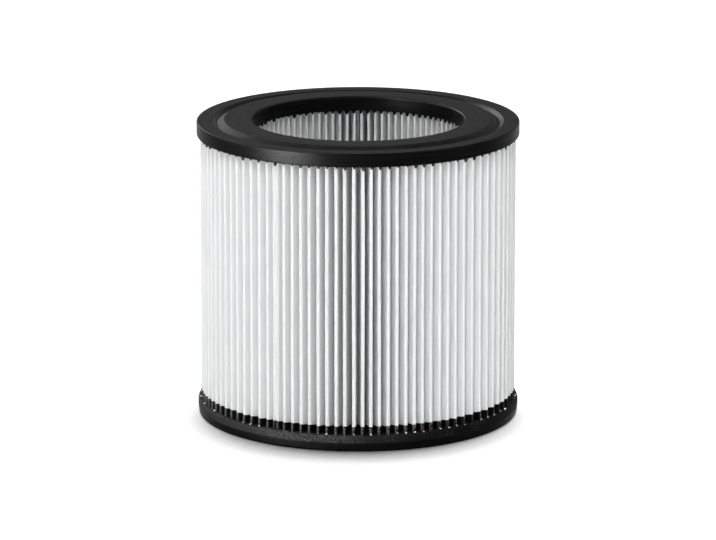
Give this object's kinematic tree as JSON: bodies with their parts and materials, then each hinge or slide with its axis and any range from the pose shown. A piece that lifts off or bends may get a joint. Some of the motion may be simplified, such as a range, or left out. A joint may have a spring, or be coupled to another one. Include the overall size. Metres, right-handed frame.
{
  "type": "vacuum cartridge filter",
  "caption": "Round pleated cartridge filter for a household vacuum: a folded white sheet held between black cast end rings, with an open bore along its axis.",
  "frame": {"origin": "centre of the lower ring's underside, on the surface that the filter stands on", "axes": "+Z along the filter's axis, up towards the sealing face; X and Y are alike"},
  "size_m": [0.137, 0.137, 0.128],
  "materials": {
    "filter_sheet": "matt white nonwoven",
    "polyurethane": "matt black, cast"
  },
  "bodies": {
    "root": {"pleated_sheet": "filter_sheet", "top_end_cap": "polyurethane", "bottom_end_cap": "polyurethane"}
  },
  "joints": []
}
